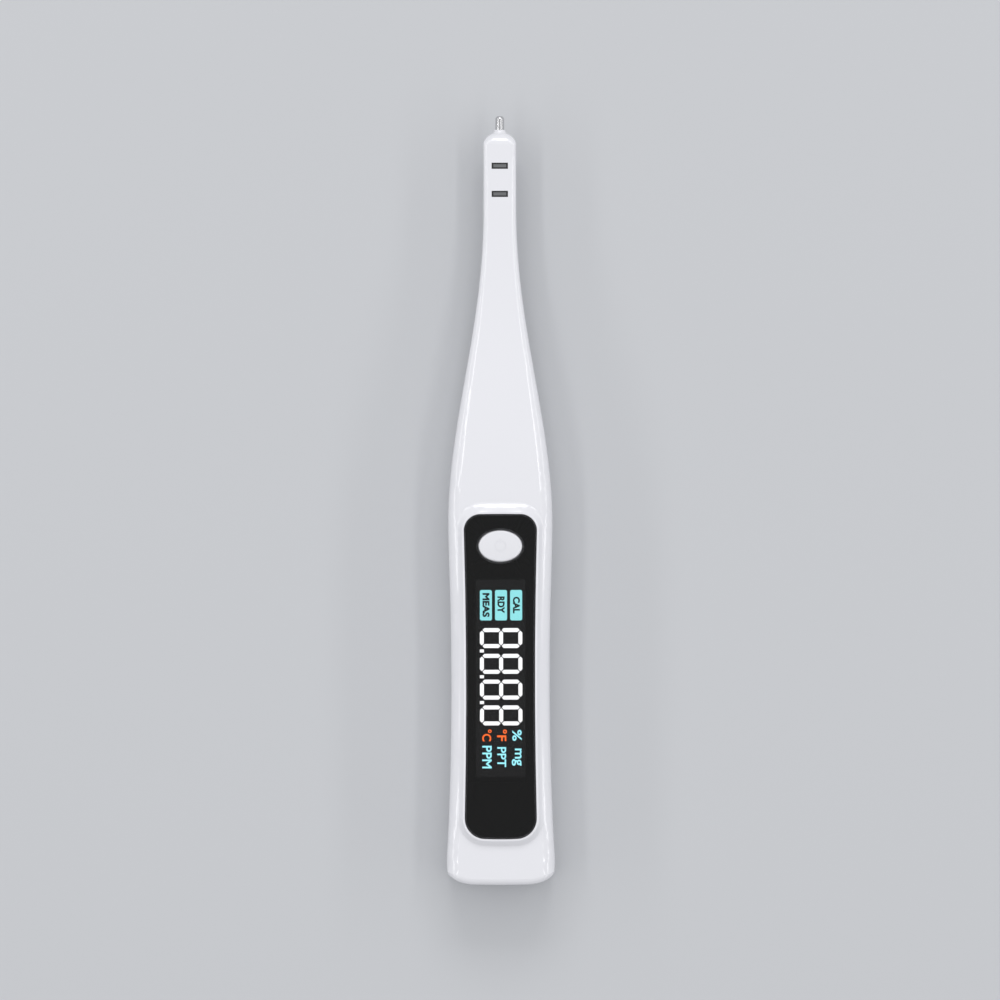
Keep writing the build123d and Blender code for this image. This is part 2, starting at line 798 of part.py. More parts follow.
# Controller and small parts on the board's back
with BuildPart() as controller_chip:
    with BuildSketch(Plane.XY.offset(board_z - chip_thk)):
        with Locations((0, along(chip_at))):
            Rectangle(chip_size, chip_size)
    extrude(amount=chip_thk)
    chamfer(controller_chip.faces().sort_by(Axis.Z)[0].edges(), chip_thk / 8)
    with BuildSketch(Plane.XY.offset(board_z - chip_thk / 3)):
        with Locations((0, along(chip_at))):
            with GridLocations(0, chip_pin_pitch, 1, chip_pins):
                Rectangle(chip_size + 2 * chip_pin_reach, chip_pin_width)
            with GridLocations(chip_pin_pitch, 0, chip_pins, 1):
                Rectangle(chip_pin_width, chip_size + 2 * chip_pin_reach)
    extrude(amount=chip_thk / 3)

with BuildPart() as board_parts:
    with BuildSketch(Plane.XY.offset(board_z - small_part_thk)):
        with Locations(*spots(small_part_places)):
            Rectangle(small_part_width, small_part_len)
        with Locations((0, along(crystal_at))):
            SlotOverall(crystal_len, crystal_width)
    extrude(amount=small_part_thk)

with BuildPart() as probe_header:
    header_half = header_width / 2
    header_start = board_end - header_len
    add(block(-header_half, header_half, header_start, board_end, board_z - header_height, board_z))

# Temperature pin: a closed steel tube with a flange inside the nose
tip_y = along(total_len)
foot_y = along(hollow_end)
with BuildPart() as temperature_pin:
    with BuildSketch(Plane.XY.offset(mid_z)) as pin_profile:
        with BuildLine():
            Polyline(
                (0, tip_y),
                (pin_dia / 2, tip_y),
                (pin_dia / 2, foot_y),
                (pin_flange_dia / 2, foot_y),
                (pin_flange_dia / 2, foot_y - pin_flange_thk),
                (pin_bore / 2, foot_y - pin_flange_thk),
                (pin_bore / 2, tip_y - pin_tip_thk),
                (0, tip_y - pin_tip_thk),
                (0, tip_y),
            )
        make_face()
        tip_corner = pin_profile.vertices().sort_by_distance((pin_dia / 2, tip_y))[0]
        fillet(tip_corner, pin_tip_round)
    revolve(axis=pin_axis)

bead_radius = pin_bore / 2 - bead_gap
bead_at = total_len - pin_tip_thk - bead_radius - bead_gap
with BuildPart() as thermistor_bead:
    with Locations((0, along(bead_at), mid_z)):
        Sphere(bead_radius)


def electrode(middle, depth, tab_side):
    """Bar that lies in the probe's face, with a solder tab at its inner end."""
    low = probe_front - depth
    half_width = electrode_width / 2
    half_len = electrode_len / 2
    with BuildPart() as piece:
        add(block(-half_width, half_width, middle - half_len, middle + half_len, low, probe_front - electrode_sink))
        tab_low = tab_side * tab_x - tab_width / 2
        add(block(tab_low, tab_low + tab_width, middle - half_len - tab_len, middle, low, low + tab_thk))
    return piece.part


with BuildPart() as electrode_upper:
    add(electrode(electrode_upper_at, upper_electrode_depth, -1))
with BuildPart() as electrode_lower:
    add(electrode(electrode_lower_at, lower_electrode_depth, 1))

# Collars that seal the electrodes in the probe's face
collar_foot = probe_front - wall - collar_flange_thk
with BuildPart() as electrode_collars:
    with BuildSketch(Plane.XY.offset(collar_foot)):
        with Locations(*spots([(0, electrode_upper_at), (0, electrode_lower_at)])):
            Rectangle(collar_width + 2 * collar_flange, collar_len + 2 * collar_flange)
    extrude(amount=collar_flange_thk)
    with BuildSketch(Plane.XY.offset(collar_foot + collar_flange_thk)):
        with Locations(*spots([(0, electrode_upper_at), (0, electrode_lower_at)])):
            Rectangle(collar_width, collar_len)
    extrude(amount=wall - collar_sink)
    with BuildSketch(Plane.XY.offset(collar_foot)):
        with Locations(*spots([(0, electrode_upper_at), (0, electrode_lower_at)])):
            Rectangle(electrode_width, electrode_len)
    extrude(amount=wall + collar_flange_thk, mode=Mode.SUBTRACT)


def lead(start, entry_x, diameter):
    """Wire from a place in the probe to the header, level, then one long bend down to it."""
    x, place, z = start
    points = [
        (x, along(place), z),
        (x, along(leads_turn_at), z),
        (entry_x, along(leads_level_at), header_z),
        (entry_x, along(board_end), header_z),
    ]
    radii = corner_radii(points)
    print("lead radii", [round(radius) for radius in radii])
    with BuildPart() as wire:
        with BuildLine():
            FilletPolyline(*points, radius=radii)
        with BuildSketch(Plane(origin=points[0], x_dir=(1, 0, 0), z_dir=(0, -1, 0))):
            Circle(diameter / 2)
        sweep()
    return wire.part


def tab_end(middle, depth, tab_side):
    """Where a lead meets an electrode's tab."""
    return (tab_side * tab_x, middle - electrode_len / 2 - tab_len, probe_front - depth + tab_thk / 2)


upper_start = tab_end(electrode_upper_at, upper_electrode_depth, -1)
lower_start = tab_end(electrode_lower_at, lower_electrode_depth, 1)
electrode_wires = [
    lead(upper_start, -1.5 * lead_pitch, electrode_lead_dia),
    lead(lower_start, 1.5 * lead_pitch, electrode_lead_dia),
]
bead_foot = bead_at - bead_radius
thermistor_wires = [
    lead((side * thermistor_lead_x, bead_foot, mid_z), side * lead_pitch / 2, thermistor_lead_dia)
    for side in (-1, 1)
]
with BuildPart() as electrode_leads:
    add(electrode_wires)
with BuildPart() as thermistor_leads:
    add(thermistor_wires)


def cell(x, start, tip_side):
    """AAA cell along Y, with its nub towards the tip of the probe or towards the base."""
    can_start = start if tip_side > 0 else start + nub_len
    nub_start = start + cell_len - nub_len if tip_side > 0 else start
    with BuildPart() as piece:
        with BuildSketch(across_body(can_start, cell_z)):
            with Locations((x, 0)):
                Circle(cell_dia / 2)
        extrude(amount=cell_len - nub_len)
        chamfer(piece.edges().filter_by(GeomType.CIRCLE), cell_edge)
        with BuildSketch(across_body(nub_start, cell_z)):
            with Locations((x, 0)):
                Circle(nub_dia / 2)
        extrude(amount=nub_len)
    return piece.part


with BuildPart() as battery_left:
    add(cell(-cell_x, bay_at + contact_thk + spring_len, 1))
with BuildPart() as battery_right:
    add(cell(cell_x, bay_at + contact_thk + dimple_height, -1))


def coil(x, start, toward):
    """Conical contact spring that stands on its plate and narrows to the cell."""
    big = (spring_big_dia - spring_wire) / 2
    small = (spring_small_dia - spring_wire) / 2
    rise = spring_len - spring_wire + spring_sink
    base = Vector(x, along(start) + toward * (spring_wire / 2 - spring_sink), cell_z)
    with BuildPart() as spring:
        with BuildLine() as path:
            Helix(
                rise / spring_turns,
                rise,
                big,
                center=base,
                direction=(0, toward, 0),
                cone_angle=-degrees(atan2(big - small, rise)),
            )
        with BuildSketch(Plane(origin=path.line @ 0, z_dir=path.line % 0)):
            RegularPolygon(spring_wire / 2, spring_sides)
        sweep(is_frenet=True)
    return spring.part


def dimple(x, start, toward):
    """Pressed button on a contact that meets a cell's nub."""
    plane = Plane(origin=(x, along(start), cell_z), x_dir=(1, 0, 0), z_dir=(0, toward, 0))
    with BuildPart() as bump:
        with BuildSketch(plane):
            Circle(dimple_dia / 2)
        extrude(amount=dimple_height, taper=20)
    return bump.part


def end_contact(x, touch):
    """Contact at the bay's upper end: plate, its spring or dimple, and a tail up to the board."""
    plate_half = contact_width / 2
    plate = bay_end - contact_thk
    with BuildPart() as piece:
        low = cell_z - contact_height / 2
        add(block(x - plate_half, x + plate_half, plate, bay_end, low, low + contact_height))
        add(block(x - tail_width / 2, x + tail_width / 2, plate, bay_end, cell_z, board_z))
        add(touch)
    return piece.part


bridge_touches = [coil(-cell_x, bay_at + contact_thk, 1), dimple(cell_x, bay_at + contact_thk, 1)]
positive_touch = dimple(-cell_x, bay_end - contact_thk, -1)
negative_touch = coil(cell_x, bay_end - contact_thk, -1)
with BuildPart() as bridge_contact:
    bridge_half = cell_x + contact_width / 2
    strap_low = cell_z - bridge_strap / 2
    pad_low = cell_z - bridge_height / 2
    add(block(-bridge_half, bridge_half, bay_at, bay_at + contact_thk, strap_low, strap_low + bridge_strap))
    for low_x in (-bridge_half, bridge_half - contact_width):
        add(block(low_x, low_x + contact_width, bay_at, bay_at + contact_thk, pad_low, pad_low + bridge_height))
    add(bridge_touches)
with BuildPart() as positive_contact:
    add(end_contact(-cell_x, positive_touch))
with BuildPart() as negative_contact:
    add(end_contact(cell_x, negative_touch))

# Screws: four between the shells, put in from the back, and four through the board
with BuildPart() as shell_screws:
    with BuildSketch(Plane.XY.offset(screw_seat)):
        with Locations(*spots(screw_places)):
            Circle(screw_dia / 2)
    extrude(amount=screw_len)
    with BuildSketch(Plane.XY.offset(screw_seat)):
        with Locations(*spots(screw_places)):
            Circle(screw_head_dia / 2)
    extrude(amount=-screw_head_thk)

with BuildPart() as board_screws:
    with BuildSketch(Plane.XY.offset(board_z)):
        with Locations(*spots(board_screw_places)):
            Circle(board_screw_dia / 2)
    extrude(amount=board_screw_len)
    with BuildSketch(Plane.XY.offset(board_z)):
        with Locations(*spots(board_screw_places)):
            Circle(board_screw_head / 2)
    extrude(amount=-board_screw_head_thk)

pieces = {
    "front_shell": front_shell,
    "rear_shell": rear_shell,
    "battery_door": battery_door,
    "display_lens": display_lens,
    "lens_tape": lens_tape,
    "power_button": power_button,
    "main_board": main_board,
    "led_display": led_display,
    "display_segments": display_segments,
    "display_pins": display_pins,
    "switch_body": switch_body,
    "switch_cover": switch_cover,
    "switch_dome": switch_dome,
    "switch_plunger": switch_plunger,
    "controller_chip": controller_chip,
    "board_parts": board_parts,
    "probe_header": probe_header,
    "temperature_pin": temperature_pin,
    "thermistor_bead": thermistor_bead,
    "electrode_upper": electrode_upper,
    "electrode_lower": electrode_lower,
    "electrode_collars": electrode_collars,
    "electrode_leads": electrode_leads,
    "thermistor_leads": thermistor_leads,
    "battery_left": battery_left,
    "battery_right": battery_right,
    "bridge_contact": bridge_contact,
    "positive_contact": positive_contact,
    "negative_contact": negative_contact,
    "shell_screws": shell_screws,
    "board_screws": board_screws,
}
os.makedirs("parts", exist_ok=True)
for name, piece in pieces.items():
    piece.part.label = name
    export_step(piece.part, f"parts/{name}.step")
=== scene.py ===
"""Salinity meter: shells, lens, lit display, button, probe and insides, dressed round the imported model."""

import json
import math

import bpy
from bpy.props import FloatProperty, FloatVectorProperty, PointerProperty
from mathutils import Matrix, Vector

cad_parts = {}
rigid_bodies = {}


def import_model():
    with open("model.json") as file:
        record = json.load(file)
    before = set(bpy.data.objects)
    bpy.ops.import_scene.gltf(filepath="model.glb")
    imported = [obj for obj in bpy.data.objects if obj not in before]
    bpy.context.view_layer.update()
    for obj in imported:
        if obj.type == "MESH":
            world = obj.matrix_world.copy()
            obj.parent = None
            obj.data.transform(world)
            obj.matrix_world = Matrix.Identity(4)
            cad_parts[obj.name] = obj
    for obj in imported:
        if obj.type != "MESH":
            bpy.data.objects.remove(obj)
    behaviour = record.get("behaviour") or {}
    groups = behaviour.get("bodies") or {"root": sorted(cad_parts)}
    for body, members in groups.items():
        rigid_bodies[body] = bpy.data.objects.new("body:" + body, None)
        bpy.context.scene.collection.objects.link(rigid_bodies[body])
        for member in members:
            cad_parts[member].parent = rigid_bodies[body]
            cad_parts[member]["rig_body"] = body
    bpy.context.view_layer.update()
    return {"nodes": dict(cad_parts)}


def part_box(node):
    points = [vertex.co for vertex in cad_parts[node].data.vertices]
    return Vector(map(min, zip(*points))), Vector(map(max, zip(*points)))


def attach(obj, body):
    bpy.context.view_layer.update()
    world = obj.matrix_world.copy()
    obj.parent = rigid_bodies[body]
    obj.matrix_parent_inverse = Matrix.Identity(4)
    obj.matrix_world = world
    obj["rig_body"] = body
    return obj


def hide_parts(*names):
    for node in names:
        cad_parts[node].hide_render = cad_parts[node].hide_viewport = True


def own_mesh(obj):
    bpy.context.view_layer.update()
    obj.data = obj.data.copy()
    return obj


bl_info = {
    "name": "Salinity Meter",
    "version": (1, 0, 0),
    "blender": (4, 5, 0),
    "location": "View3D > Sidebar > Meter",
    "description": "Dresses a pen-shaped salinity meter and sets up its studio",
    "category": "Object",
}

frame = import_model()
MM = 0.001
WELD = 0.000002  # corners nearer than this are one
CREASE = math.radians(30)  # sharper edges stay crisp
RELIEF_DEPTH = 0.00002  # of grain and scratches
FLAG_STRIP = 0.0125  # length of the display's upper end, which holds the flags
WORD_CLEARANCE = 0.00002  # from the display's face to its words
BODY_MIDDLE = 0.00875  # height of the probe's axis over the floor
CAMERA_SHIFT = 0.00008  # to the left and towards the probe
CAMERA_ROLL = math.radians(-0.09)

# Lamps, as (name, place, watts, width, length), in metres: a soft key past the probe, and two pairs of
# strips along the meter, whose reflections draw the bright lines along its edges
LAMPS = (
    ("Key", (0, 1.8, 1.4), 15, 1.4, 0.9),
    ("Strip_left_high", (-0.5, 0.02, 0.87), 1.5, 0.1, 1.6),
    ("Strip_right_high", (0.5, 0.02, 0.87), 1.5, 0.1, 1.6),
    ("Strip_left_low", (-0.85, 0.02, 0.5), 1.5, 0.1, 1.6),
    ("Strip_right_low", (0.85, 0.02, 0.5), 1.5, 0.1, 1.6),
)

# The display's words, as (word, lowest x, highest x, first y, last y), in millimetres, and the units'
# finish. They read towards the base, so a word starts at its first y.
FLAG_WORDS = (
    ("MEAS", -4.8, -2.9, -24.7, -31.1),
    ("RDY", -0.8, 1.1, -25.6, -30.1),
    ("CAL", 3.3, 5.2, -25.7, -30.1),
)
UNIT_WORDS = (
    ("°C", -4.9, -2.4, -61.05, -64.2, "warm"),
    ("°F", -0.95, 1.65, -61.05, -64.15, "warm"),
    ("%", 3.1, 5.6, -61.15, -64.1, "cool"),
    ("PPM", -4.9, -2.4, -65.4, -71.4, "cool"),
    ("PPT", -0.9, 1.45, -65.75, -71.05, "cool"),
    ("mg", 2.95, 5.55, -66.15, -70.7, "cool"),
)
UNIT_NAMES = {"°C": "Celsius", "°F": "Fahrenheit", "%": "Percent"}


def deselect():
    """Leaves nothing selected and nothing in edit mode."""
    if bpy.context.object and bpy.context.object.mode != "OBJECT":
        bpy.ops.object.mode_set(mode="OBJECT")
    bpy.ops.object.select_all(action="DESELECT")


def pick(piece):
    """Makes a piece the only selected and active one."""
    deselect()
    piece.select_set(True)
    bpy.context.view_layer.objects.active = piece


def place(piece, body, material, stands_for=()):
    """Gives a piece its finish and its body, and hides the nodes that it stands for."""
    piece.data.materials.clear()
    piece.data.materials.append(material)
    if stands_for:
        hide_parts(*stands_for)
    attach(piece, body)
    return piece


def body_of_node(node):
    """The CAD body that carries a node."""
    return frame["nodes"][node]["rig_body"]


def merged(node, name, material):
    """A merged copy of a node with crisp edges, which stands for it."""
    piece = bpy.data.objects.new(name, frame["nodes"][node].data.copy())
    bpy.context.scene.collection.objects.link(piece)
    pick(piece)
    bpy.ops.mesh.customdata_custom_splitnormals_clear()
    bpy.ops.object.mode_set(mode="EDIT")
    bpy.ops.mesh.select_all(action="SELECT")
    bpy.ops.mesh.remove_doubles(threshold=WELD)
    bpy.ops.mesh.select_all(action="DESELECT")
    bpy.ops.object.mode_set(mode="OBJECT")
    bpy.ops.object.shade_smooth_by_angle(angle=CREASE)
    return place(piece, body_of_node(node), material, [node])


def refinish(node, material):
    """A node whose shape is right gets its material."""
    mesh = frame["nodes"][node].data
    mesh.materials.clear()
    mesh.materials.append(material)


def skin_group(name, values):
    """A new node group: a vector, a colour and named values in, and colour, roughness and height out."""
    group = bpy.data.node_groups.new(name, "ShaderNodeTree")
    sockets = group.interface
    sockets.new_socket("Vector", in_out="INPUT", socket_type="NodeSocketVector")
    sockets.new_socket("Colour", in_out="INPUT", socket_type="NodeSocketColor")
    for label, value in values:
        socket = sockets.new_socket(label, in_out="INPUT", socket_type="NodeSocketFloat")
        socket.default_value = value
    sockets.new_socket("Colour", in_out="OUTPUT", socket_type="NodeSocketColor")
    sockets.new_socket("Roughness", in_out="OUTPUT", socket_type="NodeSocketFloat")
    sockets.new_socket("Height", in_out="OUTPUT", socket_type="NodeSocketFloat")
    return group


def noise(group, given, scale, detail):
    """A noise texture in a group, at the scale that one of the group's values gives."""
    texture = group.nodes.new("ShaderNodeTexNoise")
    texture.inputs["Detail"].default_value = detail
    group.links.new(given.outputs["Vector"], texture.inputs["Vector"])
    group.links.new(given.outputs[scale], texture.inputs["Scale"])
    return texture


def vary(group, given, result, texture):
    """Varies a group's colour and roughness with a texture, by the group's two spreads."""
    nodes = group.nodes
    link = group.links.new
    centred = nodes.new("ShaderNodeMath")
    centred.operation = "SUBTRACT"
    centred.inputs[1].default_value = 0.5
    link(texture.outputs["Fac"], centred.inputs[0])
    spread = nodes.new("ShaderNodeMath")
    spread.operation = "MULTIPLY_ADD"
    spread.inputs[2].default_value = 1.0
    link(centred.outputs[0], spread.inputs[0])
    link(given.outputs["Shade spread"], spread.inputs[1])
    shade = nodes.new("ShaderNodeVectorMath")
    shade.operation = "SCALE"
    link(given.outputs["Colour"], shade.inputs[0])
    link(spread.outputs[0], shade.inputs["Scale"])
    link(shade.outputs[0], result.inputs["Colour"])
    rough = nodes.new("ShaderNodeMath")
    rough.operation = "MULTIPLY_ADD"
    link(centred.outputs[0], rough.inputs[0])
    link(given.outputs["Roughness spread"], rough.inputs[1])
    link(given.outputs["Roughness"], rough.inputs[2])
    link(rough.outputs[0], result.inputs["Roughness"])


def moulded_skin_group():
    """Colour, roughness and fine relief of a moulded or cast surface."""
    name = "Moulded skin"
    if name in bpy.data.node_groups:
        return bpy.data.node_groups[name]
    values = (
        ("Shade spread", 0.02),
        ("Roughness", 0.25),
        ("Roughness spread", 0.05),
        ("Cloud scale", 40.0),
        ("Grain scale", 2500.0),
    )
    group = skin_group(name, values)
    given = group.nodes.new("NodeGroupInput")
    result = group.nodes.new("NodeGroupOutput")
    vary(group, given, result, noise(group, given, "Cloud scale", 3))
    grain = noise(group, given, "Grain scale", 4)
    group.links.new(grain.outputs["Fac"], result.inputs["Height"])
    return group


def brushed_group():
    """Colour, roughness and relief of fine scratches, drawn out along an axis by a material's mapping."""
    name = "Brushed lines"
    if name in bpy.data.node_groups:
        return bpy.data.node_groups[name]
    values = (
        ("Shade spread", 0.2),
        ("Roughness", 0.3),
        ("Roughness spread", 0.15),
        ("Scale", 900.0),
    )
    group = skin_group(name, values)
    given = group.nodes.new("NodeGroupInput")
    result = group.nodes.new("NodeGroupOutput")
    lines = noise(group, given, "Scale", 3)
    vary(group, given, result, lines)
    group.links.new(lines.outputs["Fac"], result.inputs["Height"])
    return group


def material(name, group, colour, relief=0.0, stretch=(1, 1, 1), shader=(), **settings):
    """A material dressed by a group. shader holds pairs of a socket of its shader and the value there."""
    made = bpy.data.materials.get(name)
    if made:
        return made
    made = bpy.data.materials.new(name)
    made.use_nodes = True
    nodes = made.node_tree.nodes
    link = made.node_tree.links.new
    bsdf = nodes["Principled BSDF"]
    for socket, value in shader:
        bsdf.inputs[socket].default_value = value
    where = nodes.new("ShaderNodeTexCoord")
    turned = nodes.new("ShaderNodeMapping")
    turned.inputs["Scale"].default_value = stretch
    link(where.outputs["Object"], turned.inputs["Vector"])
    skin = nodes.new("ShaderNodeGroup")
    skin.node_tree = group
    skin.inputs["Colour"].default_value = (*colour, 1)
    for label, value in settings.items():
        skin.inputs[label.replace("_", " ").capitalize()].default_value = value
    link(turned.outputs["Vector"], skin.inputs["Vector"])
    link(skin.outputs["Colour"], bsdf.inputs["Base Color"])
    link(skin.outputs["Roughness"], bsdf.inputs["Roughness"])
    if relief:
        bump = nodes.new("ShaderNodeBump")
        bump.inputs["Strength"].default_value = relief
        bump.inputs["Distance"].default_value = RELIEF_DEPTH
        link(skin.outputs["Height"], bump.inputs["Height"])
        link(bump.outputs["Normal"], bsdf.inputs["Normal"])
    return made


def plastic(name, colour, roughness=0.25, relief=0.1, shader=(), **settings):
    """A moulded plastic."""
    return material(
        name,
        moulded_skin_group(),
        colour,
        relief,
        shader=shader,
        roughness=roughness,
        **settings,
    )


def metal(name, colour, roughness=0.28, relief=0.15, stretch=(1, 0.05, 1), **settings):
    """A metal with fine scratches."""
    return material(
        name,
        brushed_group(),
        colour,
        relief,
        stretch,
        shader=(("Metallic", 1.0),),
        roughness=roughness,
        **settings,
    )


def lit(name, colour, strength):
    """A lit segment: a clear face over its light, a little uneven across the display."""
    made = plastic(name, colour, roughness=0.35, relief=0.0, shade_spread=0.1, cloud_scale=300.0)
    nodes = made.node_tree.nodes
    bsdf = nodes["Principled BSDF"]
    bsdf.inputs["Emission Strength"].default_value = strength
    skin = next(node for node in nodes if node.type == "GROUP")
    made.node_tree.links.new(skin.outputs["Colour"], bsdf.inputs["Emission Color"])
    return made


def word(text, name, spot, z, thickness, boldness, finish):
    """A printed or lit word that reads towards the base, fitted to its spot and a film thick."""
    x_low, x_high, y_first, y_last = spot
    deselect()
    bpy.ops.object.text_add()
    piece = bpy.context.object
    piece.name = name
    piece.data.body = text
    piece.data.resolution_u = 5
    piece.data.extrude = 0.01
    piece.data.bevel_depth = boldness
    piece.data.bevel_resolution = 0
    bpy.ops.object.convert(target="MESH")
    corners = [v.co for v in piece.data.vertices]
    low = Vector([min(c[axis] for c in corners) for axis in range(3)])
    high = Vector([max(c[axis] for c in corners) for axis in range(3)])
    wide = (y_first - y_last) * MM / (high.x - low.x)
    tall = (x_high - x_low) * MM / (high.y - low.y)
    fit = (
        Matrix.Translation((x_low * MM, y_first * MM, z))
        @ Matrix.Rotation(-math.pi / 2, 4, "Z")
        @ Matrix.Diagonal((wide, tall, thickness / (high.z - low.z), 1))
        @ Matrix.Translation(-low)
    )
    piece.data.transform(fit)
    return place(piece, "housing", finish)


class MeterColours(bpy.types.PropertyGroup):
    shell: FloatVectorProperty(
        name="Shells",
        description="Colour of the moulded shells and the battery door",
        subtype="COLOR",
        min=0,
        max=1,
        default=(0.80, 0.80, 0.835),
    )
    lens: FloatVectorProperty(
        name="Lens",
        description="Tint of the smoked lens over the display",
        subtype="COLOR",
        min=0,
        max=1,
        default=(0.30, 0.30, 0.305),
    )
    digits: FloatVectorProperty(
        name="Digits",
        description="Colour of the lit digits",
        subtype="COLOR",
        min=0,
        max=1,
        default=(1.0, 1.0, 1.0),
    )
    flags: FloatVectorProperty(
        name="Flags",
        description="Colour of the lit mode flags",
        subtype="COLOR",
        min=0,
        max=1,
        default=(0.27, 0.72, 0.74),
    )
    cool_units: FloatVectorProperty(
        name="Salt units",
        description="Colour of the lit units of salinity",
        subtype="COLOR",
        min=0,
        max=1,
        default=(0.35, 0.9, 1.0),
    )
    warm_units: FloatVectorProperty(
        name="Temperature units",
        description="Colour of the lit units of temperature",
        subtype="COLOR",
        min=0,
        max=1,
        default=(1.0, 0.16, 0.02),
    )


class MeterSizes(bpy.types.PropertyGroup):
    film: FloatProperty(
        name="Print thickness",
        description="Thickness of the printed and lit words",
        subtype="DISTANCE",
        unit="LENGTH",
        default=0.00004,
    )
    boldness: FloatProperty(
        name="Boldness",
        description="Thickening of the flags' strokes, as a share of the letters' height",
        min=0,
        default=0.045,
    )
    glow: FloatProperty(
        name="Glow",
        description="Strength of the lit segments behind the lens",
        min=0,
        default=3.6,
    )
    camera_distance: FloatProperty(
        name="Camera distance",
        description="From the middle of the meter's height to the camera",
        subtype="DISTANCE",
        unit="LENGTH",
        default=6.0,
    )
    view_width: FloatProperty(
        name="View width",
        description="Width of the picture at the middle of the meter's height",
        subtype="DISTANCE",
        unit="LENGTH",
        default=0.2668,
    )


class METER_OT_shells(bpy.types.Operator):
    """Finish the two shells and the battery door"""

    bl_idname = "meter.shells"
    bl_label = "Shells"

    def execute(self, context):
        shell = plastic(
            "Gloss white plastic",
            tuple(context.scene.meter_colours.shell),
            roughness=0.16,
            relief=0.05,
            shade_spread=0.02,
            roughness_spread=0.06,
            shader=(("Coat Weight", 0.9), ("Coat Roughness", 0.04)),
        )
        refinish("front_shell", shell)
        refinish("rear_shell", shell)
        refinish("battery_door", shell)
        return {"FINISHED"}


class METER_OT_button(bpy.types.Operator):
    """Finish the button"""

    bl_idname = "meter.button"
    bl_label = "Button"

    def execute(self, context):
        cap = plastic(
            "Button plastic",
            (0.78, 0.78, 0.81),
            roughness=0.2,
            relief=0.04,
            shader=(("Coat Weight", 0.2), ("Coat Roughness", 0.08)),
        )
        refinish("power_button", cap)
        return {"FINISHED"}


class METER_OT_display(bpy.types.Operator):
    """Light the display's segments, flags and units behind the lens"""

    bl_idname = "meter.display"
    bl_label = "Display"

    def execute(self, context):
        colours = context.scene.meter_colours
        sizes = context.scene.meter_sizes
        digits = lit("Lit digit", tuple(colours.digits), sizes.glow)
        flags = lit("Lit flag", tuple(colours.flags), sizes.glow)
        cool = lit("Lit salt unit", tuple(colours.cool_units), sizes.glow)
        warm = lit("Lit temperature unit", tuple(colours.warm_units), sizes.glow)
        ink = plastic("Black print", (0.004, 0.004, 0.005), roughness=0.5, relief=0.0)
        potting = plastic("Display potting", (0.012, 0.012, 0.013), roughness=0.5, relief=0.2)
        refinish("led_display", potting)
        segments = merged("display_segments", "Lit_segments", digits)
        segments.data.materials.append(flags)
        first_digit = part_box("led_display")[1].y - FLAG_STRIP
        for face in segments.data.polygons:
            if face.center.y > first_digit:
                face.material_index = 1
        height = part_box("led_display")[1].z + WORD_CLEARANCE
        for text, *spot in FLAG_WORDS:
            word(text, "Flag_" + text, spot, height, sizes.film, sizes.boldness, ink)
        tones = {"warm": warm, "cool": cool}
        for text, *spot, tone in UNIT_WORDS:
            name = "Unit_" + UNIT_NAMES.get(text, text)
            word(text, name, spot, height, sizes.film, sizes.boldness / 3, tones[tone])
        return {"FINISHED"}


class METER_OT_lens(bpy.types.Operator):
    """Finish the smoked lens and the black tape behind it"""

    bl_idname = "meter.lens"
    bl_label = "Lens"

    def execute(self, context):
        smoked = plastic(
            "Smoked acrylic",
            tuple(context.scene.meter_colours.lens),
            roughness=0.04,
            relief=0.0,
            roughness_spread=0.01,
            shade_spread=0.01,
            shader=(("Transmission Weight", 1.0), ("IOR", 1.4)),
        )
        refinish("display_lens", smoked)
        tape = plastic("Black tape", (0.012, 0.012, 0.0125), roughness=0.6, relief=0.2)
        refinish("lens_tape", tape)
        return {"FINISHED"}


class METER_OT_probe(bpy.types.Operator):
    """Finish the temperature pin, the electrodes, their seals and the leads"""

    bl_idname = "meter.probe"
    bl_label = "Probe"

    def execute(self, context):
        bright = (0.62, 0.62, 0.63)
        steel = metal("Turned steel", bright, roughness=0.16, stretch=(0.3, 1, 0.3), scale=2500.0)
        dark = (0.23, 0.235, 0.24)
        electrode = metal("Electrode metal", dark, roughness=0.38, stretch=(0.1, 1, 1), scale=2500.0)
        seal = plastic("Seal rubber", (0.01, 0.01, 0.011), roughness=0.55, relief=0.3)
        sleeve = plastic("Lead sleeve", (0.35, 0.03, 0.02), roughness=0.45, relief=0.2)
        bead = plastic("Bead epoxy", (0.03, 0.03, 0.035), roughness=0.35, relief=0.2)
        refinish("temperature_pin", steel)
        refinish("electrode_upper", electrode)
        refinish("electrode_lower", electrode)
        refinish("electrode_collars", seal)
        refinish("electrode_leads", sleeve)
        refinish("thermistor_leads", sleeve)
        refinish("thermistor_bead", bead)
        return {"FINISHED"}


class METER_OT_board(bpy.types.Operator):
    """Finish the board and the parts on it"""

    bl_idname = "meter.board"
    bl_label = "Board"

    def execute(self, context):
        mask = plastic("Solder mask", (0.02, 0.16, 0.06), roughness=0.3, relief=0.3, shade_spread=0.3)
        black = plastic("Part plastic", (0.02, 0.02, 0.021), roughness=0.4, relief=0.4)
        tan = plastic("Ceramic part", (0.42, 0.3, 0.17), roughness=0.4, relief=0.2)
        cream = plastic("Header plastic", (0.72, 0.69, 0.6), roughness=0.4, relief=0.2)
        sheet = metal("Tinned sheet", (0.7, 0.7, 0.69), roughness=0.25)
        refinish("main_board", mask)
        for node in ("switch_body", "switch_plunger", "controller_chip"):
            refinish(node, black)
        refinish("board_parts", tan)
        refinish("probe_header", cream)
        for node in ("display_pins", "switch_cover"):
            refinish(node, sheet)
        dome = merged("switch_dome", "Snap_dome", sheet)
        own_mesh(dome)
        return {"FINISHED"}


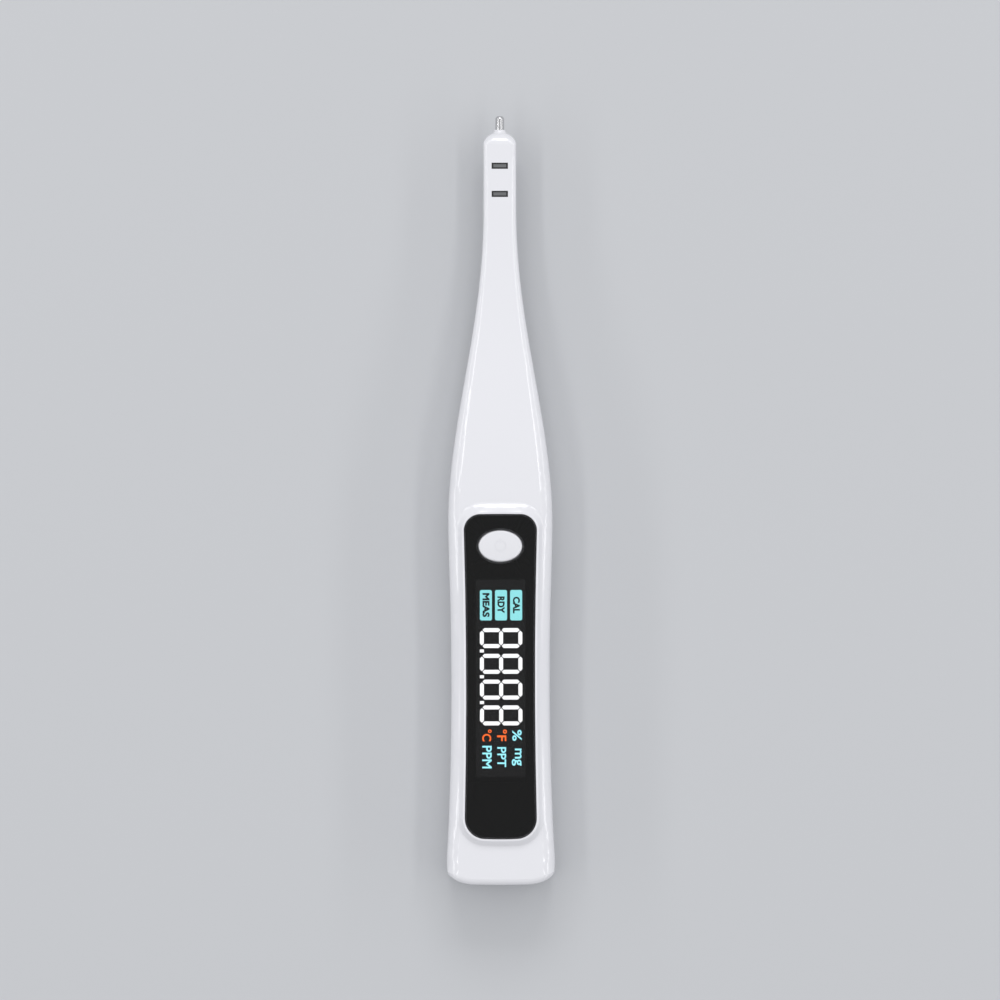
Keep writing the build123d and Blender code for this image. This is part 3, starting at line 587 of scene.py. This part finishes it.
class METER_OT_power(bpy.types.Operator):
    """Finish the two cells, their contacts and the screws"""

    bl_idname = "meter.power"
    bl_label = "Cells and screws"

    def execute(self, context):
        sleeve = plastic("Cell sleeve", (0.05, 0.07, 0.11), roughness=0.25, relief=0.05)
        spring = metal("Nickel plate", (0.66, 0.65, 0.62), roughness=0.24)
        zinc = metal("Zinc plate", (0.6, 0.61, 0.63), roughness=0.3)
        refinish("battery_left", sleeve)
        refinish("battery_right", sleeve)
        for node in ("bridge_contact", "positive_contact", "negative_contact"):
            refinish(node, spring)
        for node in ("shell_screws", "board_screws"):
            refinish(node, zinc)
        return {"FINISHED"}


class METER_OT_stage(bpy.types.Operator):
    """Lay the floor, hang the lights and set up the camera"""

    bl_idname = "meter.stage"
    bl_label = "Stage"

    def execute(self, context):
        scene = context.scene
        sizes = scene.meter_sizes
        deselect()
        bpy.ops.mesh.primitive_plane_add(size=12, location=(0, 0, 0))
        floor = bpy.context.object
        floor.name = "Floor"
        paper = plastic("Pale floor", (0.55, 0.56, 0.58), roughness=0.7, relief=0.0, cloud_scale=3.0)
        floor.data.materials.append(paper)
        world = bpy.data.worlds.new("Studio")
        scene.world = world
        world.use_nodes = True
        nodes = world.node_tree.nodes
        background = nodes["Background"]
        background.inputs["Color"].default_value = (0.97, 0.98, 1.0, 1)
        background.inputs["Strength"].default_value = 0.58
        for name, place_of, power, width, length in LAMPS:
            deselect()
            bpy.ops.object.light_add(type="AREA", location=place_of)
            lamp = bpy.context.object
            lamp.name = name
            lamp.data.shape = "RECTANGLE"
            lamp.data.size = width
            lamp.data.size_y = length
            lamp.data.energy = power
            aim = Vector(place_of).normalized()
            lamp.rotation_euler = (-math.asin(aim.y), math.atan2(aim.x, aim.z), 0)
        height = BODY_MIDDLE + sizes.camera_distance
        bpy.ops.object.camera_add(location=(-CAMERA_SHIFT, CAMERA_SHIFT, height))
        camera = bpy.context.object
        camera.name = "Camera"
        camera.rotation_euler = (0, 0, CAMERA_ROLL)
        camera.data.sensor_width = 36
        camera.data.lens = 36 * sizes.camera_distance / sizes.view_width
        camera.data.clip_end = 100
        scene.camera = camera
        scene.view_settings.view_transform = "Standard"
        return {"FINISHED"}


class METER_PT_sidebar(bpy.types.Panel):
    bl_label = "Salinity Meter"
    bl_idname = "METER_PT_sidebar"
    bl_space_type = "VIEW_3D"
    bl_region_type = "UI"
    bl_category = "Meter"

    def draw(self, context):
        layout = self.layout
        for group in (context.scene.meter_colours, context.scene.meter_sizes):
            for name in group.__annotations__:
                layout.prop(group, name)
        for operator in OPERATORS:
            layout.operator(operator.bl_idname)


OPERATORS = (
    METER_OT_shells,
    METER_OT_button,
    METER_OT_display,
    METER_OT_lens,
    METER_OT_probe,
    METER_OT_board,
    METER_OT_power,
    METER_OT_stage,
)
CLASSES = (MeterColours, MeterSizes, *OPERATORS, METER_PT_sidebar)


def register():
    for made in CLASSES:
        bpy.utils.register_class(made)
    bpy.types.Scene.meter_colours = PointerProperty(type=MeterColours)
    bpy.types.Scene.meter_sizes = PointerProperty(type=MeterSizes)


def unregister():
    del bpy.types.Scene.meter_sizes
    del bpy.types.Scene.meter_colours
    for made in reversed(CLASSES):
        bpy.utils.unregister_class(made)


def main():
    """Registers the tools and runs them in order."""
    register()
    bpy.ops.meter.shells()
    bpy.ops.meter.button()
    bpy.ops.meter.display()
    bpy.ops.meter.lens()
    bpy.ops.meter.probe()
    bpy.ops.meter.board()
    bpy.ops.meter.power()
    bpy.ops.meter.stage()


if __name__ == "__main__":
    main()
